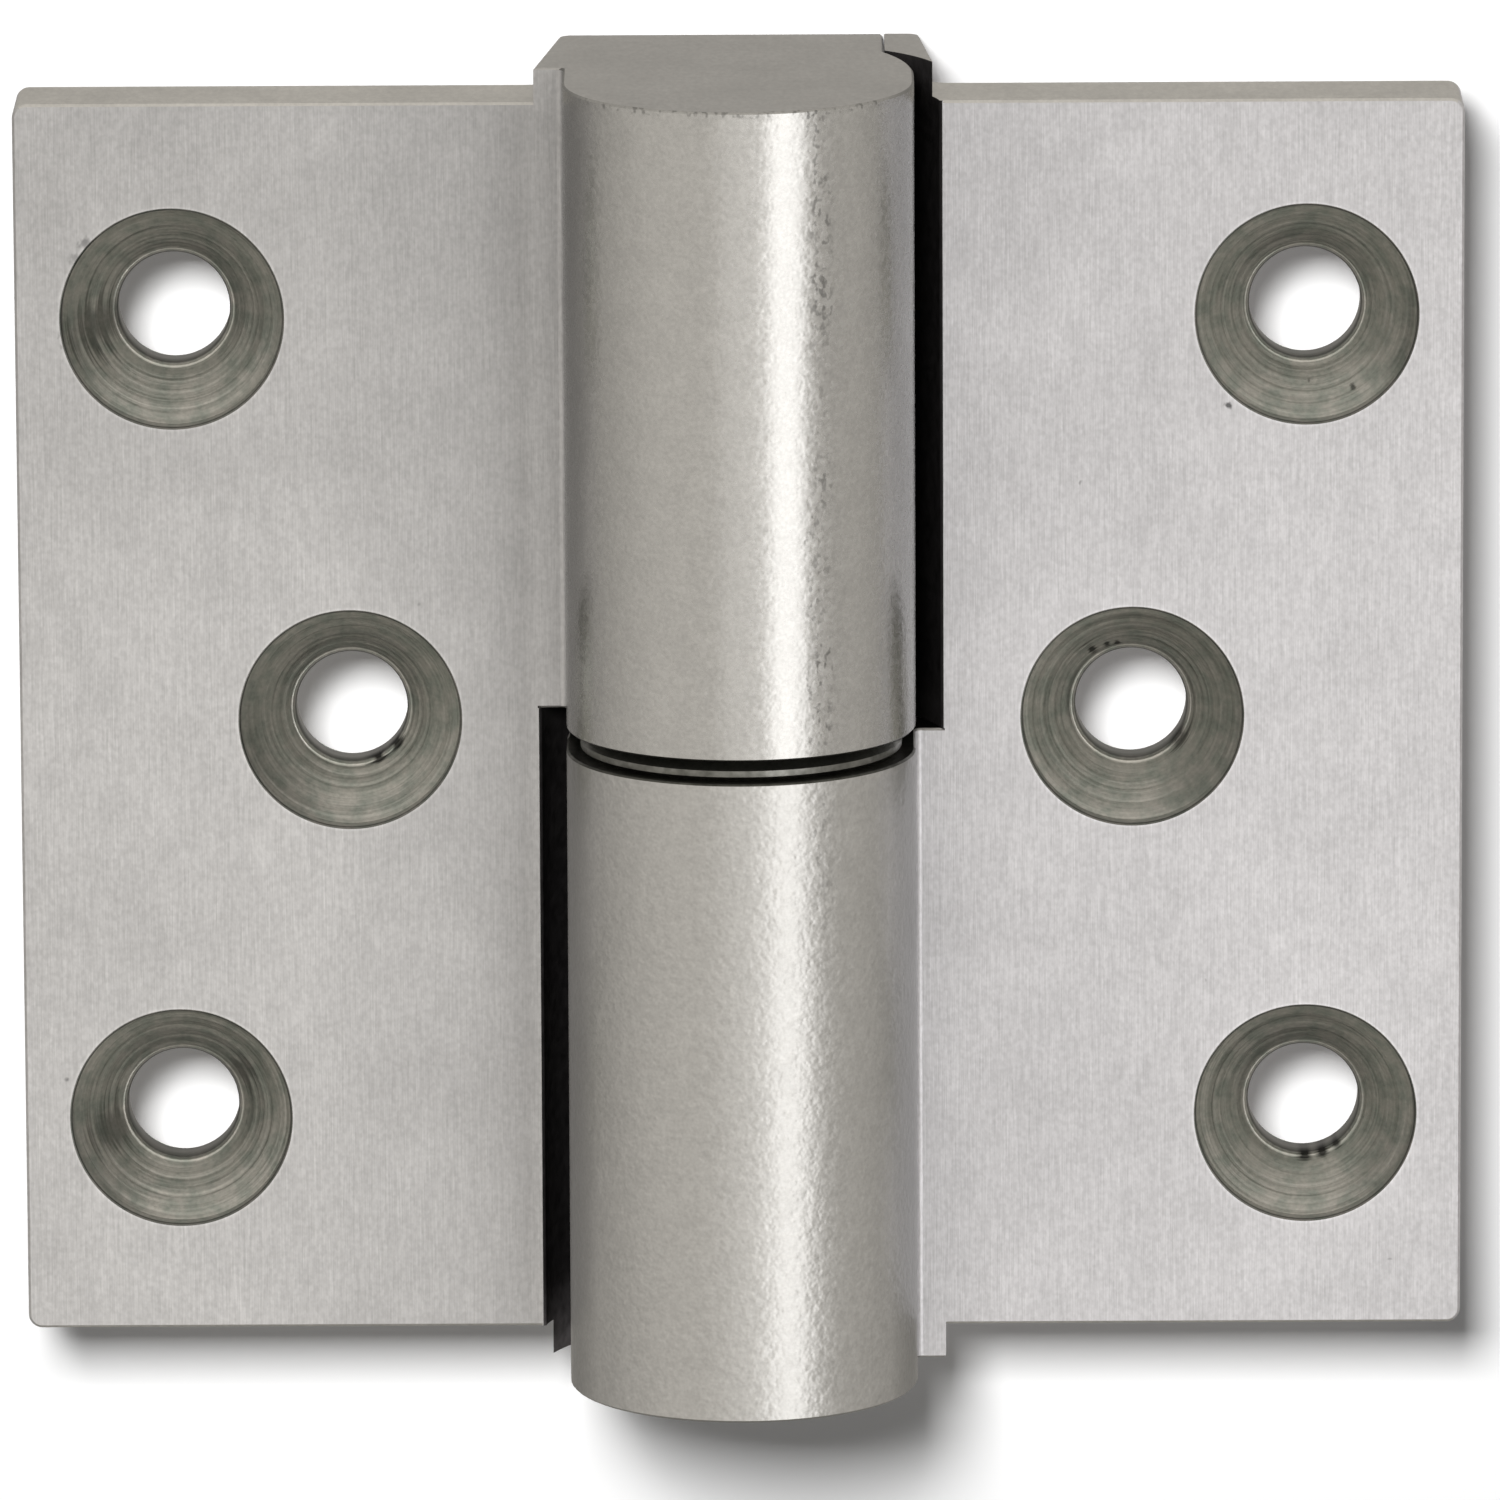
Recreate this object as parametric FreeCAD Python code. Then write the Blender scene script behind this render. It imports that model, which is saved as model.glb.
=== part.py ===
import FreeCAD, Part
import math
import os
from collections import namedtuple

# A lift-off hinge with two thick leaves. Each leaf is one piece of steel: a flat plate with
# countersunk screw holes, a knuckle on one half of its height, and on the other half a pocket
# and a lip that reach round the back of the other leaf's knuckle. The two leaves are alike,
# the second turned by half a turn about the line of sight. A pin pressed into the lower
# knuckle carries the upper one, which turns on a washer and lifts off.
#
# Millimetres. +X runs along the leaves, +Y from the screw side to the back, and +Z up the pin.
# The origin is the centre of the whole hinge, opened flat.

# Driving dimensions of the leaves
leaf_reach = 41.5              # pin axis to a leaf's outer edge
leaf_height = 72.0
leaf_thickness = 6.0
leaf_set_back = 5.0            # pin axis to a leaf's front face
leaf_corner_radius = 0.8       # outer corners, seen from the front
leaf_edge_bevel = 0.15         # bevel along a leaf's edges
leaf_root_radius = 1.5         # hollow between a leaf's back and its knuckle block

# Driving dimensions of the knuckles
knuckle_radius = 10.0
knuckle_gap = 1.3              # between the two knuckles, taken up by the washer
knuckle_overrun = 2.0          # a knuckle's end past its leaf's edge
knuckle_edge_bevel = 0.12
knuckle_root_radius = 0.4      # hollow between a leaf's front face and its knuckle
block_depth = 16.0             # pin axis to the flat back of a knuckle block
block_taper = 1.4              # how far a block's outer side leans in, from front to back
block_corner_radius = 0.8
block_seam_radius = 0.15       # corners where a block and a lip meet at the back
flank_inset = 1.7              # how far a knuckle's free side curves in towards the pin axis
flank_straight = 3.0           # pin axis to where that curve starts
flank_curve_depth = 7.0        # the curve's length from front to back

# Driving dimensions of the pocket and the lip
side_gap = 1.45                # between a knuckle and the pocket wall beside it
pocket_edge_radius = 0.2
pocket_straight = 0.3          # flat stretch of the pocket wall behind a leaf's front face
pocket_depth = 5.0             # pocket's curved wall, from front to back
pocket_hollow = 0.45           # how far that wall bulges out from a straight line
lip_wall = 0.25                # steel between the pocket wall and the block's outer side
lip_end_set_back = 1.5         # past the leaf's edge, from its front face to the lip's front
lip_end_inset = 0.6            # past the leaf's edge, from the block's outer side to the lip's
stop_clearance = 0.1           # between a lip's end and the block it stops against

# Driving dimensions of the screw holes, for M6 countersunk screws
hole_radius = 3.2
countersink_radius = 6.3
countersink_angle = 90.0
countersink_recess = 0.8       # short straight wall at a countersink's mouth
hole_break_width = 0.2         # bevel at the small end of a countersink
hole_break_depth = 0.3
outer_hole_margin = 9.0        # leaf's outer edge to the two outer holes
outer_hole_spacing = 47.0
hole_stagger = 10.0            # how much nearer to the pin the middle hole stands

# Driving dimensions of the pin and the washer
knuckle_wall = 4.0             # steel round the pin
pin_bevel = 0.8
pin_depth = 30.0               # pin inside each knuckle
pin_running_clearance = 0.05   # around the pin in the upper knuckle
bore_end_clearance = 0.5       # from the pin's end to the start of the drilled point
bore_mouth_bevel = 0.4
drill_point_angle = 118.0
washer_inset = 0.8             # washer's rim inside the knuckles' surface
washer_clearance = 0.1         # between the pin and the washer's hole
washer_crown = 0.7             # bevel on the washer's upper side, which runs on the door leaf
washer_rim_bevel = 0.25        # bevel on its lower side

# Sizes worked out from the driving dimensions
half_gap = knuckle_gap / 2
half_height = leaf_height / 2
knuckle_end = half_height + knuckle_overrun
leaf_front = leaf_set_back
leaf_back = leaf_set_back + leaf_thickness
flank_x = knuckle_radius - flank_inset
flank_end = flank_straight + flank_curve_depth
pocket_wall = knuckle_radius + side_gap
block_side = pocket_wall + lip_wall
block_back_side = block_side - block_taper
lip_end_x = flank_x + stop_clearance
pin_axis_y = -(block_depth - knuckle_radius) / 2
outer_hole_x = leaf_reach - outer_hole_margin
middle_hole_x = outer_hole_x - hole_stagger
pin_radius = knuckle_radius - knuckle_wall
washer_radius = knuckle_radius - washer_inset

# How far a cutting tool reaches past the surface it starts from
tool_overshoot = 1.0

Corner = namedtuple("Corner", "x y radius via", defaults=(0.0, None))


def rounded_corner(before, corner, after, radius):
    """Return the start, middle and end of the arc that rounds a corner."""
    to_before = (before - corner).normalize()
    to_after = (after - corner).normalize()
    half_turn = to_before.getAngle(to_after) / 2
    reach = radius / math.tan(half_turn)
    bisector = (to_before + to_after).normalize()
    centre = corner + bisector * (radius / math.sin(half_turn))
    return corner + to_before * reach, centre - bisector * radius, corner + to_after * reach


def outline(corners):
    """Return a closed flat wire. A corner may be rounded, or reached by an arc through via."""
    points = [FreeCAD.Vector(corner.x, corner.y, 0) for corner in corners]
    ends = []
    for index, corner in enumerate(corners):
        if corner.radius > 0:
            after = points[(index + 1) % len(points)]
            ends.append(rounded_corner(points[index - 1], points[index], after, corner.radius))
        else:
            ends.append((points[index], None, points[index]))
    edges = []
    for index in range(len(corners)):
        start, middle, end = ends[index]
        if middle:
            edges.append(Part.Arc(start, middle, end).toShape())
        following = (index + 1) % len(corners)
        via = corners[following].via
        if via:
            edges.append(Part.Arc(end, FreeCAD.Vector(via[0], via[1], 0), ends[following][0]).toShape())
        else:
            edges.append(Part.LineSegment(end, ends[following][0]).toShape())
    return Part.Wire(edges)


def prism(corners, bottom, top):
    """Return the solid that stands on an outline between two heights."""
    solid = Part.Face(outline(corners)).extrude(FreeCAD.Vector(0, 0, top - bottom))
    solid.translate(FreeCAD.Vector(0, 0, bottom))
    return solid


def turned(profile):
    """Return the solid turned about the pin axis from (radius, height) points."""
    points = [FreeCAD.Vector(radius, 0, height) for radius, height in profile]
    face = Part.Face(Part.makePolygon(points + points[:1]))
    return face.revolve(FreeCAD.Vector(0, 0, 0), FreeCAD.Vector(0, 0, 1), 360)


def flank_curve_middle():
    """Return the point halfway along the curve on a knuckle's free side."""
    radius = (flank_inset ** 2 + flank_curve_depth ** 2) / (2 * flank_inset)
    half_turn = math.asin(flank_curve_depth / radius) / 2
    across = knuckle_radius - radius * (1 - math.cos(half_turn))
    return across, flank_straight + radius * math.sin(half_turn)


def plate():
    """Return a leaf's flat plate, on the -X side, with its bevelled edges."""
    root_start, root_middle, root_end = root_curve()
    solid = prism(
        [
            Corner(-leaf_reach, leaf_front),
            Corner(-block_side, leaf_front),
            Corner(root_start.x, root_start.y),
            Corner(root_end.x, root_end.y, via=(root_middle.x, root_middle.y)),
            Corner(-leaf_reach, leaf_back),
        ],
        -half_height,
        half_height,
    )
    corner_edges = [edge for edge in solid.Edges if is_outer_corner(edge)]
    solid = solid.makeFillet(leaf_corner_radius, corner_edges)
    rim_edges = [edge for edge in solid.Edges if is_plate_rim(edge)]
    return solid.makeChamfer(leaf_edge_bevel, rim_edges)


def root_curve():
    """Return the start, middle and end of the hollow between the plate's back and the block."""
    lean = block_taper / (block_depth - leaf_front)
    block_corner = FreeCAD.Vector(-block_back_side, block_depth, 0)
    root = FreeCAD.Vector(-block_side + leaf_thickness * lean, leaf_back, 0)
    outer_corner = FreeCAD.Vector(-leaf_reach, leaf_back, 0)
    return rounded_corner(block_corner, root, outer_corner, leaf_root_radius)


def is_outer_corner(edge):
    """Tell whether an edge runs from front to back at the plate's outer side."""
    box = edge.BoundBox
    return box.YLength > leaf_thickness / 2 and box.XMax < -leaf_reach / 2


def is_plate_rim(edge):
    """Tell whether an edge bounds the plate's front or back face, its inner end apart."""
    box = edge.BoundBox
    flat = box.YLength < leaf_thickness / 2
    at_inner_end = box.XMin > -block_side - leaf_edge_bevel / 2
    upright_at_root = box.ZLength > leaf_height / 2 and box.XMax > -leaf_reach / 2
    return flat and not at_inner_end and not upright_at_root


def knuckle_block():
    """Return the knuckle with the block behind it, on the upper half of the hinge."""
    solid = prism(
        [
            Corner(-knuckle_radius, 0),
            Corner(knuckle_radius, 0, via=(0, -knuckle_radius)),
            Corner(knuckle_radius, flank_straight),
            Corner(flank_x, flank_end, via=flank_curve_middle()),
            Corner(flank_x, block_depth, radius=block_seam_radius),
            Corner(-block_back_side, block_depth, radius=block_corner_radius),
            Corner(-block_side, leaf_front),
            Corner(-knuckle_radius, leaf_front, radius=knuckle_root_radius),
        ],
        half_gap,
        knuckle_end,
    )
    rim_edges = [edge for edge in solid.Edges if is_knuckle_rim(edge)]
    return solid.makeChamfer(knuckle_edge_bevel, rim_edges)


def is_knuckle_rim(edge):
    """Tell whether an edge goes round a knuckle's outer end, or the free part of its inner one."""
    box = edge.BoundBox
    level = box.ZLength < knuckle_edge_bevel
    outer = box.ZMin > knuckle_end - knuckle_edge_bevel
    on_barrel = box.YMax < leaf_front and box.XMin > -block_side
    on_free_side = box.XMin > 0
    return level and (outer or on_barrel or on_free_side)


def lip():
    """Return the lip behind the other leaf's knuckle, with the strip that joins it to the plate."""
    start = FreeCAD.Vector(-pocket_wall, leaf_front + pocket_straight, 0)
    end = FreeCAD.Vector(-lip_end_x, start.y + pocket_depth, 0)
    across = FreeCAD.Vector(start.y - end.y, end.x - start.x, 0).normalize()
    middle = (start + end) / 2 + across * pocket_hollow
    solid = prism(
        [
            Corner(-block_side, leaf_front),
            Corner(-pocket_wall, leaf_front, radius=pocket_edge_radius),
            Corner(start.x, start.y),
            Corner(end.x, end.y, via=(middle.x, middle.y)),
            Corner(-lip_end_x, block_depth, radius=block_seam_radius),
            Corner(-block_back_side, block_depth, radius=block_corner_radius),
        ],
        -knuckle_end,
        half_gap,
    )
    return solid.cut(lip_relief())


def lip_relief():
    """Return the tool that thins the lip where it runs past the leaf's edge."""
    front = leaf_front - tool_overshoot
    outer_side = -block_side - tool_overshoot
    lip_front = leaf_front + lip_end_set_back
    return prism(
        [
            Corner(outer_side, front),
            Corner(-lip_end_x, front),
            Corner(-lip_end_x, lip_front),
            Corner(-block_side + lip_end_inset, lip_front),
            Corner(-block_back_side, block_depth),
            Corner(outer_side, block_depth),
        ],
        -knuckle_end - tool_overshoot,
        -half_height,
    )


def blind_bore(radius):
    """Return the tool that drills the pin's hole up into the knuckle block."""
    mouth = half_gap - tool_overshoot
    straight_end = half_gap + pin_depth + bore_end_clearance
    point = straight_end + radius / math.tan(math.radians(drill_point_angle / 2))
    return turned([
        (0, mouth),
        (radius + bore_mouth_bevel, mouth),
        (radius + bore_mouth_bevel, half_gap),
        (radius, half_gap + bore_mouth_bevel),
        (radius, straight_end),
        (0, point),
    ])


def countersunk_hole(distance, height):
    """Return the tool that cuts one screw hole through the plate from its front."""
    slope = math.tan(math.radians(countersink_angle / 2))
    break_radius = hole_radius + hole_break_width
    cone_end = countersink_recess + (countersink_radius - break_radius) / slope
    tool = turned([
        (0, -tool_overshoot),
        (countersink_radius, -tool_overshoot),
        (countersink_radius, countersink_recess),
        (break_radius, cone_end),
        (hole_radius, cone_end + hole_break_depth),
        (hole_radius, leaf_thickness + tool_overshoot),
        (0, leaf_thickness + tool_overshoot),
    ])
    tool.rotate(FreeCAD.Vector(0, 0, 0), FreeCAD.Vector(1, 0, 0), -90)
    tool.translate(FreeCAD.Vector(-distance, leaf_front, height))
    return tool


def leaf(bore_radius):
    """Return a whole leaf, with its plate on the -X side and its knuckle on top."""
    holes = [
        countersunk_hole(outer_hole_x, outer_hole_spacing / 2),
        countersunk_hole(middle_hole_x, 0),
        countersunk_hole(outer_hole_x, -outer_hole_spacing / 2),
    ]
    solid = knuckle_block().fuse([lip(), plate()]).removeSplitter()
    return solid.cut([blind_bore(bore_radius)] + holes)


def door_leaf():
    """Return the leaf that lifts off, whose knuckle is the upper one."""
    return leaf(pin_radius + pin_running_clearance)


def frame_leaf():
    """Return the leaf that holds the pin, turned by half a turn about the line of sight."""
    solid = leaf(pin_radius)
    solid.rotate(FreeCAD.Vector(0, 0, 0), FreeCAD.Vector(0, 1, 0), 180)
    return solid


def hinge_pin():
    """Return the pin, pressed into the lower knuckle and free in the upper one."""
    end = half_gap + pin_depth
    return turned([
        (0, -end),
        (pin_radius - pin_bevel, -end),
        (pin_radius, -end + pin_bevel),
        (pin_radius, end - pin_bevel),
        (pin_radius - pin_bevel, end),
        (0, end),
    ])


def thrust_washer():
    """Return the washer between the knuckles, with a bevel on each side of its rim."""
    hole = pin_radius + washer_clearance
    return turned([
        (hole, -half_gap),
        (washer_radius - washer_rim_bevel, -half_gap),
        (washer_radius, washer_rim_bevel - half_gap),
        (washer_radius, half_gap - washer_crown),
        (washer_radius - washer_crown, half_gap),
        (hole, half_gap),
    ])


def main():
    """Build each piece, move the pin axis to its place in the hinge's frame and export it."""
    os.makedirs("parts", exist_ok=True)
    pieces = {
        "door_leaf": door_leaf(),
        "frame_leaf": frame_leaf(),
        "hinge_pin": hinge_pin(),
        "thrust_washer": thrust_washer(),
    }
    for node, solid in pieces.items():
        solid.translate(FreeCAD.Vector(0, pin_axis_y, 0))
        solid.exportStep(f"parts/{node}.step")
        print(node, "valid", solid.isValid(), "solids", len(solid.Solids), "mm3", round(solid.Volume, 1))


main()
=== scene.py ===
import logging
import math
import random
from dataclasses import dataclass
from enum import Enum
from typing import Optional, Sequence, Union

import bmesh
import bpy
from mathutils import Matrix, Vector


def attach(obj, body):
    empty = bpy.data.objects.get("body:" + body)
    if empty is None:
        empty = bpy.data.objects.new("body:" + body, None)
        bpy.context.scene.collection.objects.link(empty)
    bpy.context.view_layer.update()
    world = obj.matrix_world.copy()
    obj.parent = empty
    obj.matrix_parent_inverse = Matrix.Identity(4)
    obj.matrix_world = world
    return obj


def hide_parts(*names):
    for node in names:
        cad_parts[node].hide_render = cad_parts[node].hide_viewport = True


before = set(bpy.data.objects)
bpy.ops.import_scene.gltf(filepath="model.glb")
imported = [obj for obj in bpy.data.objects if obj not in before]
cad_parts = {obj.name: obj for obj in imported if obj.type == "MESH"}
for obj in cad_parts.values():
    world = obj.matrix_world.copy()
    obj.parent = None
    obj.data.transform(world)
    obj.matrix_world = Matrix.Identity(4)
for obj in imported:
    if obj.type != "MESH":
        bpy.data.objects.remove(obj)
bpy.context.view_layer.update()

Triple = tuple[float, float, float]
Colour = Triple
Pair = tuple[float, float]
Span = Pair
Socket = bpy.types.NodeSocket
Feed = Union[float, Sequence[float], Socket]
Feeds = dict[Union[str, int], Feed]
Row = Sequence[bmesh.types.BMVert]

MM = 0.001
WHITE: Colour = (1.0, 1.0, 1.0)
PIN_AXIS_Y = -3.0
LEAF_FRONT_Y = 2.0
OUTER_HOLE: Pair = (32.5, 23.5)
MIDDLE_HOLE: Pair = (22.5, 0.0)

# The values between which most, or nearly all, of a noise pattern from 0 to 1 lies.
MOST: Span = (0.3, 0.7)
NEARLY_ALL: Span = (0.25, 0.75)

log = logging.getLogger("hinge")


class Axis(Enum):
    """The hinge's axes: along the leaves, from the screw side to the back, and up the pin."""

    X = 0
    Y = 1
    Z = 2


def alike(value: float) -> Triple:
    """Return one value for all three axes."""
    return (value, value, value)


@dataclass(frozen=True)
class Layer:
    """A smooth random pattern in a surface, and the shades of its dark and its light grains.

    The grains are counted to the metre along each axis. Detail says how many finer patterns are
    added, roughness how strong they are, and span between which values the shade changes.
    """

    grains: Triple
    dark: float
    light: float
    detail: float = 2.0
    roughness: float = 0.5
    span: Span = MOST


@dataclass(frozen=True)
class Smudge:
    """A dark smudge in or beside a screw seat.

    Its place and radius are in millimetres on the leaf. Its middle leaves a share of the light.
    """

    x: float
    z: float
    radius: float
    share: float


SMUDGE_CORE = 0.4
SMUDGES = (
    Smudge(-36.8, 22.7, 1.9, 0.55),
    Smudge(-37.3, 27.9, 0.5, 0.6),
    Smudge(-37.9, 27.0, 0.4, 0.65),
    Smudge(-36.6, -24.8, 1.7, 0.55),
    Smudge(-29.0, -21.3, 1.2, 0.6),
    Smudge(-21.0, -2.95, 0.55, 0.1),
    Smudge(-19.95, -2.1, 0.6, 0.12),
    Smudge(20.25, 3.3, 0.45, 0.15),
    Smudge(21.1, 3.6, 0.3, 0.2),
    Smudge(21.7, 3.65, 0.28, 0.2),
    Smudge(25.1, -1.9, 0.8, 0.35),
    Smudge(32.6, -26.8, 0.5, 0.1),
    Smudge(33.6, -26.65, 0.5, 0.1),
    Smudge(34.4, -26.2, 0.4, 0.2),
    Smudge(35.2, 18.9, 0.26, 0.3),
    Smudge(32.7, 19.1, 0.16, 0.5),
    Smudge(28.0, 18.2, 0.24, 0.25),
)


class Graph:
    """The node tree of one material or world, with short calls that add and join its nodes."""

    def __init__(self, tree: bpy.types.NodeTree) -> None:
        """Empty the tree and keep it."""
        self.tree = tree
        self.tree.nodes.clear()

    def add(self, kind: str, feeds: Feeds, **settings: object) -> bpy.types.Node:
        """Add a node.

        Args:
            kind: The node's type name in Blender.
            feeds: What goes into each input: a number, a colour, or another node's output.
            settings: The node's own properties.

        Returns:
            The new node.
        """
        node = self.tree.nodes.new(kind)
        for name, value in settings.items():
            setattr(node, name, value)
        for key, value in feeds.items():
            if isinstance(value, bpy.types.NodeSocket):
                self.tree.links.new(value, node.inputs[key])
            elif isinstance(value, tuple) and len(value) == 3 and node.inputs[key].type == "RGBA":
                node.inputs[key].default_value = (*value, 1.0)
            else:
                node.inputs[key].default_value = value
        return node

    def result(self, operation: str, *values: Feed) -> Socket:
        """Return the result of a sum, product or the like of one or two values."""
        return self.add("ShaderNodeMath", dict(enumerate(values)), operation=operation).outputs[0]

    def vector(self, operation: str, *values: Feed) -> bpy.types.Node:
        """Return a node that does something with one or two vectors."""
        return self.add("ShaderNodeVectorMath", dict(enumerate(values)), operation=operation)

    def sum(self, first: Feed, second: Feed) -> Socket:
        """Return two values added."""
        return self.result("ADD", first, second)

    def product(self, first: Feed, *others: Feed) -> Feed:
        """Multiply values, from the first to the last.

        Args:
            first: The first value.
            others: The other values.

        Returns:
            Their product.
        """
        for other in others:
            first = self.result("MULTIPLY", first, other)
        return first

    def stretched(self, scale: Triple) -> Socket:
        """Return the point on the piece, in metres in the hinge's frame, with each axis multiplied."""
        place = self.add("ShaderNodeTexCoord", {}).outputs["Object"]
        return self.vector("MULTIPLY", place, scale).outputs[0]

    def noise(self, layer: Layer) -> Socket:
        """Lay out a layer's pattern.

        Args:
            layer: The layer.

        Returns:
            The pattern, from 0 to 1.
        """
        feeds = {"Vector": self.stretched(layer.grains), "Scale": 1.0}
        feeds.update({"Detail": layer.detail, "Roughness": layer.roughness})
        return self.add("ShaderNodeTexNoise", feeds).outputs[0]

    def spread(self, value: Feed, span: Span, start: float, end: float) -> Socket:
        """Return a value that goes from start to end while another goes through the span."""
        feeds = {0: value, 1: span[0], 2: span[1], 3: start, 4: end}
        return self.add("ShaderNodeMapRange", feeds).outputs[0]

    def shade(self, layer: Layer, pattern: Optional[Socket] = None) -> Socket:
        """Return the shade that a layer gives.

        Args:
            layer: The layer.
            pattern: The layer's pattern, where it is there already.

        Returns:
            The shade, between the layer's dark and its light.
        """
        pattern = self.noise(layer) if pattern is None else pattern
        return self.spread(pattern, layer.span, layer.dark, layer.light)

    def fade(self, share: Socket, tone: float) -> Socket:
        """Return 1 where a share is 0, and the tone where it is 1."""
        return self.spread(share, (0.0, 1.0), 1.0, tone)

    def even(self, colour: Colour) -> Socket:
        """Give one colour, for nodes that take it further.

        Args:
            colour: The colour.

        Returns:
            The colour as a node's output.
        """
        node = self.add("ShaderNodeRGB", {})
        node.outputs[0].default_value = (*colour, 1.0)
        return node.outputs[0]

    def tint(self, share: Socket, first: Colour, second: Colour) -> Socket:
        """Return a colour between two colours, by share."""
        return self.add("ShaderNodeMix", {0: share, 6: first, 7: second}, data_type="RGBA").outputs[2]

    def shaded(self, colour: Socket, share: Socket) -> Socket:
        """Return a colour multiplied by a grey share."""
        return self.add("ShaderNodeVectorMath", {0: colour, "Scale": share}, operation="SCALE").outputs[0]

    def along(self, axis: Axis) -> Socket:
        """Return the place along one axis, in millimetres in the hinge's frame."""
        return self.add("ShaderNodeSeparateXYZ", {0: self.stretched(alike(1 / MM))}).outputs[axis.value]

    def away(self, axis: Axis) -> Socket:
        """Return the distance to either side of the hinge's middle along one axis, in millimetres."""
        return self.result("ABSOLUTE", self.along(axis))

    def on_leaf(self) -> Socket:
        """Return the point on the leaf's face, in millimetres."""
        return self.stretched((1 / MM, 0.0, 1 / MM))

    def distance(self, point: Socket, x: float, z: float) -> Socket:
        """Return the distance of a point on the leaf's face from the place x, z, in millimetres."""
        return self.vector("DISTANCE", point, (x, 0.0, z)).outputs["Value"]

    def seat_radius(self) -> Socket:
        """Measure how far the point is from the nearest screw hole.

        Returns:
            The distance from the hole's axis, in millimetres.
        """
        point = self.vector("ABSOLUTE", self.on_leaf()).outputs[0]
        outer, middle = self.distance(point, *OUTER_HOLE), self.distance(point, *MIDDLE_HOLE)
        return self.result("MINIMUM", outer, middle)

    def seat_depth(self) -> Socket:
        """Return the depth below a leaf's front face, in millimetres."""
        return self.sum(self.along(Axis.Y), -LEAF_FRONT_Y)

    def smudged(self, shade: Feed, ragged: Socket) -> Feed:
        """Return a shade with the smudges laid over it.

        Args:
            shade: The shade below them.
            ragged: A factor round 1 that breaks up their outlines.

        Returns:
            The darker shade.
        """
        for smudge in SMUDGES:
            reach = self.product(self.distance(self.on_leaf(), smudge.x, smudge.z), ragged)
            edge = (SMUDGE_CORE * smudge.radius, smudge.radius)
            shade = self.product(shade, self.spread(reach, edge, smudge.share, 1.0))
        return shade

    def bump(self, height: Socket, depth: float, below: Optional[Socket] = None) -> Socket:
        """Return the surface's direction after a relief.

        Args:
            height: The relief, from 0 to 1.
            depth: The relief's depth in metres.
            below: The direction that an earlier relief gave.

        Returns:
            The new direction.
        """
        feeds: Feeds = {"Height": height, "Distance": depth, "Strength": 1.0}
        if below is not None:
            feeds["Normal"] = below
        return self.add("ShaderNodeBump", feeds).outputs[0]


def new_material(name: str) -> tuple[bpy.types.Material, Graph]:
    """Make a new material.

    Args:
        name: The material's name.

    Returns:
        The material and the graph of its nodes.
    """
    material = bpy.data.materials.new(name)
    material.use_nodes = True
    return material, Graph(material.node_tree)


@dataclass(frozen=True)
class Finish:
    """What all the hinge's finishes share: the unevenness says how far the roughness goes down and up."""

    name: str
    colour: Colour
    roughness: float
    unevenness: Span = (-0.05, 0.05)

    def material(self) -> bpy.types.Material:
        """Return a new material with this finish."""
        raise NotImplementedError

    def shared(self) -> bpy.types.Material:
        """Return the material with this finish's name, made once."""
        return bpy.data.materials.get(self.name) or self.material()

    def uneven(self, graph: Graph, pattern: Socket, span: Span = MOST) -> Socket:
        """Return the roughness, smoother or rougher with a pattern.

        Args:
            graph: The material's graph.
            pattern: The pattern, from 0 to 1.
            span: The pattern's values between which the roughness changes.

        Returns:
            The roughness.
        """
        return graph.sum(self.roughness, graph.spread(pattern, span, *self.unevenness))

    def metal(self, graph: Graph, colour: Socket, roughness: Socket, normal: Socket) -> None:
        """Join a steel shader to the material's output.

        Args:
            graph: The material's graph.
            colour: The steel's colour.
            roughness: The steel's roughness.
            normal: The surface's direction after its relief.
        """
        feeds = {"Base Color": colour, "Metallic": 1.0, "Roughness": roughness, "Normal": normal}
        shader = graph.add("ShaderNodeBsdfPrincipled", feeds)
        graph.add("ShaderNodeOutputMaterial", {"Surface": shader.outputs[0]})


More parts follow.
